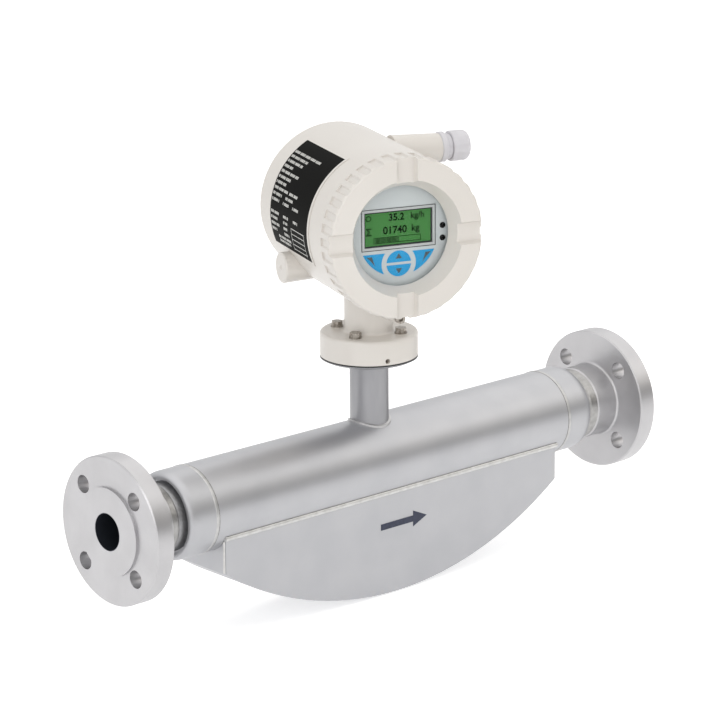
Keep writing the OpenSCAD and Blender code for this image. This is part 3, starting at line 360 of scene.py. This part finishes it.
# Stem: a stainless tube welded to the housing, with a turned plate on top that
# carries the head. Both are brushed round the stem and darker than the housing.
neck_steel = new_finish("brushed_neck_steel", (0.4, 0.4, 0.42), 0.4, metallic=0.8)
tint(
    neck_steel, speckle(neck_steel, 60, 3, stretch=(1, 1, 0.2)),
    (0.3, 0.3, 0.315), (0.35, 0.35, 0.365),
)
relief(neck_steel, speckle(neck_steel, 1500, 2, stretch=(1, 1, 0.1)), 0.00002)
dress(neck_steel, "neck_tube", "neck_plate")


# Weld beads: laid by machine, with the small overlapping ripples of the bead along
# their length. The belly seams are pickled bright, and the ring seams and the stem
# weld are ground down. The hub welds are painted darker, as painted shade for the
# shading round the hub rings, and their highlights come from the lamps.
weld_steel = new_finish("pickled_weld", (0.55, 0.55, 0.55), 0.4, metallic=0.8)
tint(weld_steel, speckle(weld_steel, 220), (0.58, 0.575, 0.565), (0.68, 0.675, 0.665))
relief(weld_steel, speckle(weld_steel, 500, 2), 0.00012)
dress(weld_steel, "belly_welds")
ground_weld = new_finish("ground_weld", (0.52, 0.52, 0.52), 0.42, metallic=0.8)
tint(ground_weld, speckle(ground_weld, 220), (0.48, 0.478, 0.48), (0.56, 0.556, 0.555))
relief(ground_weld, speckle(ground_weld, 500, 2), 0.00008)
dress(ground_weld, "seam_welds", "neck_weld")
# Painted shade: the hub welds are coloured darker for the shade round them.
root_weld = new_finish("root_weld", (0.4, 0.395, 0.39), 0.34, metallic=0.85)
tint(root_weld, speckle(root_weld, 260), (0.34, 0.335, 0.33), (0.43, 0.425, 0.42))
relief(root_weld, speckle(root_weld, 500, 2), 0.00008)
dress(root_weld, "hub_welds")


# Undercut shade: painted dark lines beside the two ring seams and above the long
# belly seams, standing in for the shadow in the undercut along each weld. Each is
# a thin film on the steel.
def finished(name, work, body, material):
    """Closes a bmesh into an object that rides on a body."""
    data = bpy.data.meshes.new(name)
    work.to_mesh(data)
    work.free()
    data.materials.append(material)
    piece = bpy.data.objects.new(name, data)
    bpy.context.scene.collection.objects.link(piece)
    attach(piece, body)


# Painted shade: a dark colour for the shadow in the weld undercuts.
heat_scale = new_finish("painted_undercut_shade", (0.1, 0.095, 0.09), 0.5, metallic=0.5)
tint(heat_scale, speckle(heat_scale, 300), (0.09, 0.085, 0.08), (0.3, 0.29, 0.28))
seam_width = 0.0029
line_width = 0.0005
scale_film = 0.00006
scale_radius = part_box("housing_tube")[1].y + scale_film
seam_low, seam_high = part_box("seam_welds")
belly_low, belly_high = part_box("belly_front_plate")
inlet_seam_edge = seam_low.x + seam_width
outlet_seam_edge = seam_high.x - seam_width
for name, first, last, start, turn, steps in (
    ("inlet_undercut_shade", inlet_seam_edge, inlet_seam_edge + line_width, 0, 360, 120),
    ("outlet_undercut_shade", outlet_seam_edge - line_width, outlet_seam_edge, 0, 360, 120),
    ("front_undercut_shade", belly_low.x, belly_high.x, 59.6, 1.1, 2),
    ("back_undercut_shade", belly_low.x, belly_high.x, -60.7, 1.1, 2),
):
    around = math.radians(start)
    line = bmesh.new()
    ends = [
        line.verts.new(
            (x, -scale_radius * math.sin(around), -scale_radius * math.cos(around))
        )
        for x in (first, last)
    ]
    bmesh.ops.spin(
        line, geom=[*ends, line.edges.new(ends)], cent=(0, 0, 0), axis=(-1, 0, 0),
        angle=math.radians(turn), steps=steps, use_merge=turn == 360,
    )
    bmesh.ops.recalc_face_normals(line, faces=line.faces)
    finished(name, line, "sensor", heat_scale)


# Flow arrow: a dark blue film stuck on the front plate of the belly. It points
# along the flow, from the inlet to the outlet.
arrow_film = new_finish("arrow_film", (0.02, 0.028, 0.06), 0.45)
tint(arrow_film, speckle(arrow_film, 400), (0.016, 0.022, 0.05), (0.026, 0.034, 0.07))
dress(arrow_film, "flow_arrow")


# Measuring tubes: drawn stainless tube with the long marks of the drawing die,
# tied by punched brace plates.
drawn_steel = new_finish("drawn_tube_steel", (0.6, 0.6, 0.61), 0.3, metallic=0.9)
gloss_range(drawn_steel, speckle(drawn_steel, 400, 4, stretch=(0.1, 1, 1)), 0.22, 0.38)
relief(drawn_steel, speckle(drawn_steel, 900, 3, stretch=(0.05, 1, 1)), 0.00003)
dress(drawn_steel, "measuring_tube_front", "measuring_tube_back", "brace_plates")


# Coils, magnets and the temperature sensor: a copper winding varnished in place,
# a plated magnet cup and a small ceramic chip.
winding = new_finish("varnished_winding", (0.45, 0.2, 0.08), 0.35, metallic=0.9)
relief(winding, turning_marks(winding, "Y", pitch=0.0006), 0.0002)
dress(winding, "drive_coil", "pickoff_coils")
magnet_cup = new_finish("plated_magnet_cup", (0.22, 0.22, 0.23), 0.35, metallic=0.9)
gloss_range(magnet_cup, speckle(magnet_cup, 500), 0.28, 0.42)
dress(magnet_cup, "drive_magnet", "pickoff_magnets")
chip = new_finish("ceramic_chip", (0.75, 0.7, 0.62), 0.6)
tint(chip, speckle(chip, 900), (0.68, 0.63, 0.55), (0.8, 0.75, 0.68))
dress(chip, "temperature_sensor")


# Cable seal in the neck: brown potting resin cast round plated pins. It lets the
# coil wires through to the head and keeps the housing tight.
resin = new_finish("potting_resin", (0.2, 0.11, 0.06), 0.35)
relief(resin, speckle(resin, 250), 0.0002)
dress(resin, "neck_feedthrough")


# Rubber: the gasket under the collar, the seals of both covers and the insert of
# the cable gland are moulded black elastomer with a dull skin.
rubber = new_finish("moulded_rubber", (0.018, 0.018, 0.018), 0.6)
gloss_range(rubber, speckle(rubber, 700), 0.5, 0.72)
relief(rubber, speckle(rubber, 1200), 0.00004)
dress(rubber, "neck_gasket", "cover_oring", "terminal_cover_oring", "gland_seal")


# Head casting and both screw covers: die-cast aluminium with a warm ivory powder
# coat, smooth with the slight orange peel of the coating.
ivory = new_finish(
    "ivory_powder_coat", (0.72, 0.69, 0.645), 0.42,
    sockets=(("Coat Weight", 0.3), ("Coat Roughness", 0.18)),
)
tint(ivory, speckle(ivory, 9, 2), (0.675, 0.641, 0.598), (0.705, 0.673, 0.631))
gloss_range(ivory, speckle(ivory, 260), 0.36, 0.44)
relief(ivory, speckle(ivory, 700, 2), 0.00005)
dress(ivory, "head_housing", "nameplate_frame", "front_cover", "terminal_cover")


# Screws: plain steel hexagon bolts and washers on the collar, the clamp ring under
# them, the set screw and the socket screw that locks the cover. All are dulled by
# grease.
screw_steel = new_finish("plain_screw_steel", (0.36, 0.33, 0.29), 0.38, metallic=0.85)
tint(screw_steel, speckle(screw_steel, 500), (0.24, 0.21, 0.18), (0.46, 0.43, 0.39))
relief(screw_steel, speckle(screw_steel, 1500), 0.00005)
dress(
    screw_steel, "clamp_ring_halves", "collar_bolts", "collar_washers", "set_screw",
    "cover_lock_screw",
)


# Nameplate: a black film plate bent round the left of the head and glued into its
# frame. It carries only blank rule lines, printed in pale grey.
plate_film = new_finish(
    "black_plate_film", (0.004, 0.004, 0.0035), 0.4, sockets=(("IOR", 1.07),)
)
gloss_range(plate_film, speckle(plate_film, 300), 0.34, 0.44)
dress(plate_film, "nameplate")
plate_ink = new_finish("pale_plate_ink", (0.75, 0.75, 0.72), 0.5)
tint(plate_ink, speckle(plate_ink, 900), (0.6, 0.6, 0.57), (0.76, 0.76, 0.73))
display_joint = next(
    joint for joint in frame["joints"] if joint["name"] == "display_turn"
)
head_centre = Vector(display_joint["pos_m"])
face_out = Vector(display_joint["axis"]).normalized()
face_up = Vector((0, 0, 1))
face_right = face_up.cross(face_out)
plate_radius = 0.06293
plate_rear = -0.048
rules = bmesh.new()


def on_face(across, up, out):
    """Frame of the display front: X right, Y up, Z outwards, all in metres."""
    turn = Matrix((face_right, face_up, face_out)).transposed().to_4x4()
    spot = head_centre + face_right * across + face_up * up + face_out * out
    return Matrix.Translation(spot) @ turn


def rule(first, last, angle, tall, steps=1):
    """A dash from first to last, in millimetres from the plate's rear edge.

    It starts at an angle round the head and is swept through its height, both
    in degrees.
    """
    around = math.radians(angle)
    across = plate_radius * math.cos(around)
    up = plate_radius * math.sin(around)
    ends = [
        rules.verts.new(on_face(across, up, mark / 1000 + plate_rear).translation)
        for mark in (first, last)
    ]
    bmesh.ops.spin(
        rules, geom=[*ends, rules.edges.new(ends)], cent=head_centre, axis=-face_out,
        angle=math.radians(tall), steps=steps,
    )


row_spans = {
    132.0: [(2, 53)],
    136.2: [(2, 35)],
    140.3: [(2, 32)],
    144.5: [(2, 19)],
    148.7: [(2, 37)],
    152.9: [(2, 26)],
    157.0: [(2, 21)],
    161.2: [(2, 29), (33, 50)],
    165.4: [(2, 20), (28, 42)],
    169.6: [(2, 17), (25, 37), (45, 57)],
    178.5: [(2, 19), (28, 38), (49, 58)],
    182.7: [(2, 15), (28, 36)],
    186.9: [(2, 18), (28, 36)],
    191.1: [(2, 12), (28, 38)],
    195.2: [(14, 40)],
    198.4: [(14, 36)],
}
row_shift = 0.3
dash_length = 1.1
dash_height = 2.0
dash_pitch = 1.6
long_pitch = 2.7
for angle, spans in row_spans.items():
    for mark, end in spans:
        dash = 0
        while mark < end:
            rule(mark, mark + dash_length, angle + row_shift, dash_height, steps=2)
            dash += 1
            mark += long_pitch if (dash * 5 + int(angle)) % 6 == 0 else dash_pitch
box_rear = 44
box_front = 71
box_top = 199.2
box_height = 15.7
box_line = 0.5
for angle in (183.5, 187.3, 191.1, 194.9, 198.7):
    rule(box_rear, box_front, angle, box_line)
for edge in (box_rear, box_front - box_line):
    rule(edge, edge + box_line, box_top, box_height, steps=8)
rules.normal_update()
bmesh.ops.reverse_faces(rules, faces=[
    face for face in rules.faces
    if face.normal.dot(face.calc_center_median() - head_centre) < 0
])
finished("plate_rules", rules, "head", plate_ink)


# Front cover window: clear toughened glass, seated in the cover from inside and
# held there by a black threaded ring.
window = new_finish(
    "window_glass", (0.02, 0.024, 0.022), 0.03, sockets=(("Alpha", 0.05),)
)
gloss_range(window, speckle(window, 20), 0.01, 0.04)
dress(window, "cover_glass")
ring_black = new_finish("black_ring", (0.03, 0.03, 0.032), 0.45, metallic=0.3)
relief(ring_black, speckle(ring_black, 800), 0.00005)
dress(ring_black, "glass_retainer")


# Display panel: a printed overlay in pale blue grey with a silver frame round the
# liquid crystal, blue touch fields and two dark infrared windows.
overlay = new_finish("display_overlay", (0.47, 0.53, 0.55), 0.4)
tint(overlay, speckle(overlay, 40), (0.63, 0.68, 0.69), (0.67, 0.72, 0.725))
dress(overlay, "display_panel")
frame_silver = new_finish("silver_frame", (0.56, 0.585, 0.59), 0.4, metallic=0.3)
gloss_range(frame_silver, speckle(frame_silver, 600), 0.35, 0.46)
dress(frame_silver, "lcd_frame")
screen_green = new_finish(
    "green_screen", (0.04, 0.16, 0.035), 0.4, sockets=(("Specular IOR Level", 0.25),)
)
tint(
    screen_green, speckle(screen_green, 1400, 0),
    (0.054, 0.235, 0.05), (0.062, 0.25, 0.057),
)
dress(screen_green, "lcd_screen")
touch_blue = new_finish(
    "touch_field_blue", (0.02, 0.27, 0.54), 0.5, sockets=(("Specular IOR Level", 0.25),)
)
tint(touch_blue, speckle(touch_blue, 300), (0.028, 0.365, 0.73), (0.034, 0.39, 0.77))
dress(touch_blue, "key_pads")
infrared_black = new_finish(
    "infrared_window", (0.003, 0.003, 0.003), 0.2,
    sockets=(("Specular IOR Level", 0.15),),
)
gloss_range(infrared_black, speckle(infrared_black, 200), 0.16, 0.24)
dress(infrared_black, "display_sensors")


# Screen image: the dark segments of the liquid crystal. A flow figure, a total
# and a bar graph, each a thin film just above the green glass.
screen_out = 0.05968
letter_film = 0.00001
ink_film = 0.00004
capital_share = 0.7
segment_ink = new_finish(
    "liquid_crystal_segments", (0.004, 0.012, 0.004), 0.5,
    sockets=(("Specular IOR Level", 0.05),),
)
tint(
    segment_ink, speckle(segment_ink, 2500, 1),
    (0.003, 0.009, 0.003), (0.006, 0.016, 0.006),
)
for name, text, capital, across, up, weight in (
    ("flow_figure", "35.2", 0.0053, -0.0078, 0.0110, 0.0002),
    ("flow_unit", "kg/h", 0.0048, 0.0104, 0.0114, 0.00014),
    ("total_figure", "01740", 0.0055, -0.0123, 0.0010, 0.0002),
    ("total_unit", "kg", 0.0052, 0.0110, 0.0014, 0.00016),
    ("total_sign", "\u03a3", 0.0054, -0.0266, 0.0006, 0.00016),
):
    curve = bpy.data.curves.new(name, "FONT")
    curve.body = text
    curve.size = capital / capital_share
    curve.offset = weight
    curve.extrude = letter_film
    drawn = bpy.data.objects.new(name, curve)
    bpy.context.scene.collection.objects.link(drawn)
    letter_data = bpy.data.meshes.new_from_object(
        drawn.evaluated_get(bpy.context.evaluated_depsgraph_get())
    )
    bpy.data.objects.remove(drawn)
    letters = bmesh.new()
    letters.from_mesh(letter_data)
    bpy.data.meshes.remove(letter_data)
    bmesh.ops.remove_doubles(letters, verts=letters.verts, dist=1e-6)
    bmesh.ops.recalc_face_normals(letters, faces=letters.faces)
    bmesh.ops.transform(
        letters, matrix=on_face(across, up, screen_out), verts=letters.verts
    )
    finished(name, letters, "display", segment_ink)


def keep_border(work, line, even=True):
    """Leaves only the border of a flat sheet, one line wide."""
    sheet = list(work.faces)
    bmesh.ops.inset_region(
        work, faces=sheet, thickness=line, use_boundary=True, use_even_offset=even
    )
    bmesh.ops.delete(work, geom=sheet, context="FACES_ONLY")


def printed(name, work, across, up, out, material):
    """A flat drawing, given the thickness of its ink and laid on the display."""
    bmesh.ops.solidify(work, geom=list(work.faces), thickness=ink_film)
    bmesh.ops.transform(work, matrix=on_face(across, up, out), verts=work.verts)
    finished(name, work, "display", material)


def outline(name, width, height, line, across, up, out, material):
    """A rectangular line of ink."""
    work = bmesh.new()
    bmesh.ops.create_grid(work, x_segments=1, y_segments=1, size=0.5)
    bmesh.ops.scale(work, vec=(width, height, 1), verts=work.verts)
    keep_border(work, line)
    printed(name, work, across, up, out, material)


flow_sign = bmesh.new()
bmesh.ops.create_circle(flow_sign, cap_ends=True, segments=32, radius=0.0023)
keep_border(flow_sign, line=0.0007, even=False)
printed(
    "flow_sign", flow_sign, across=-0.0242, up=0.0139, out=screen_out,
    material=segment_ink,
)
bar_up = -0.00385
outline(
    "bar_outline", width=0.0389, height=0.0047, line=0.00045, across=-0.0006,
    up=bar_up, out=screen_out, material=segment_ink,
)
bar_left = -0.0187
bar_height = 0.0036
stripe_count = 22
stripe_pitch = 0.0009
bar = bmesh.new()
for stripe in range(stripe_count):
    stripe_width = 0.00055 if stripe % 5 else 0.0003
    bmesh.ops.create_grid(
        bar, x_segments=1, y_segments=1, size=0.5,
        matrix=Matrix.Translation((bar_left + stripe * stripe_pitch, 0, 0))
        @ Matrix.Diagonal((stripe_width, bar_height, 1, 1)),
    )
printed("bar_stripes", bar, 0, bar_up, screen_out, segment_ink)


# Edges of the screen: painted shade, a dark line round the green glass and round
# the silver frame, for the shadow at the steps where the overlay is cut out.
# Painted shade: these dark lines stand in for the shadow at the screen's edges.
gasket_ink = new_finish(
    "painted_screen_edge_shade", (0.03, 0.035, 0.035), 0.6, sockets=(("Specular IOR Level", 0.1),)
)
tint(gasket_ink, speckle(gasket_ink, 900), (0.03, 0.035, 0.035), (0.05, 0.055, 0.055))
screen_up = 0.005
outline(
    "frame_shadow_line", width=0.0610, height=0.0323, line=0.0005, across=0,
    up=screen_up, out=0.0611, material=gasket_ink,
)
outline(
    "glass_edge_shade", width=0.0561, height=0.0274, line=0.0012, across=0,
    up=screen_up, out=0.05972, material=gasket_ink,
)


# Signs on the touch fields: grey arrows printed on the overlay. The upper and the
# lower one are triangles, and the two at the sides are bent wedges.
overlay_out = 0.06112
key_ink = new_finish(
    "key_sign_grey", (0.1, 0.13, 0.14), 0.5, sockets=(("Specular IOR Level", 0.2),)
)
tint(key_ink, speckle(key_ink, 900), (0.09, 0.12, 0.13), (0.12, 0.15, 0.16))
for name, up, turn in (("up", -0.0174, 0), ("down", -0.0278, math.pi)):
    arrow = bmesh.new()
    bmesh.ops.create_circle(arrow, cap_ends=True, segments=3, radius=0.0029)
    bmesh.ops.scale(arrow, vec=(1.05, 0.93, 1), verts=arrow.verts)
    bmesh.ops.rotate(arrow, matrix=Matrix.Rotation(turn, 3, "Z"), verts=arrow.verts)
    printed("key_sign_" + name, arrow, 0, up, overlay_out, key_ink)
wedge_top = -0.0157
wedge_height = 0.0074
wedge_half_width = 0.00215
tip_half_width = 0.0001
wedge_across = 0.0243
wedge_lean = 0.0047
for name, side in (("left", -1), ("right", 1)):
    wedge = bmesh.new()
    bmesh.ops.create_grid(wedge, x_segments=1, y_segments=8, size=0.5)
    for corner in wedge.verts:
        fall = 0.5 - corner.co.y
        half = wedge_half_width * (1 - fall) ** 1.4 + tip_half_width
        middle = side * (wedge_across - wedge_lean * fall ** 0.9)
        corner.co.x = middle + 2 * corner.co.x * half
        corner.co.y = wedge_top - wedge_height * fall
    printed("key_sign_" + name, wedge, 0, 0, overlay_out, key_ink)


# Electronics module and terminals: a moulded dark case and green plug-in
# terminals behind the covers.
case_plastic = new_finish("moulded_case", (0.05, 0.06, 0.055), 0.5)
relief(case_plastic, speckle(case_plastic, 1100), 0.00006)
dress(case_plastic, "electronics_module")
terminal_plastic = new_finish("terminal_plastic", (0.03, 0.18, 0.08), 0.45)
relief(terminal_plastic, speckle(terminal_plastic, 1100), 0.00004)
dress(terminal_plastic, "terminal_block")


# Cable gland: a light grey polyamide body screwed into its boss on the head, and
# the cap nut that presses the rubber insert round a cable.
polyamide = new_finish("gland_polyamide", (0.64, 0.63, 0.66), 0.42)
tint(polyamide, speckle(polyamide, 120), (0.62, 0.61, 0.64), (0.66, 0.65, 0.68))
relief(polyamide, speckle(polyamide, 1300), 0.00003)
dress(polyamide, "gland_body", "gland_cap_nut")
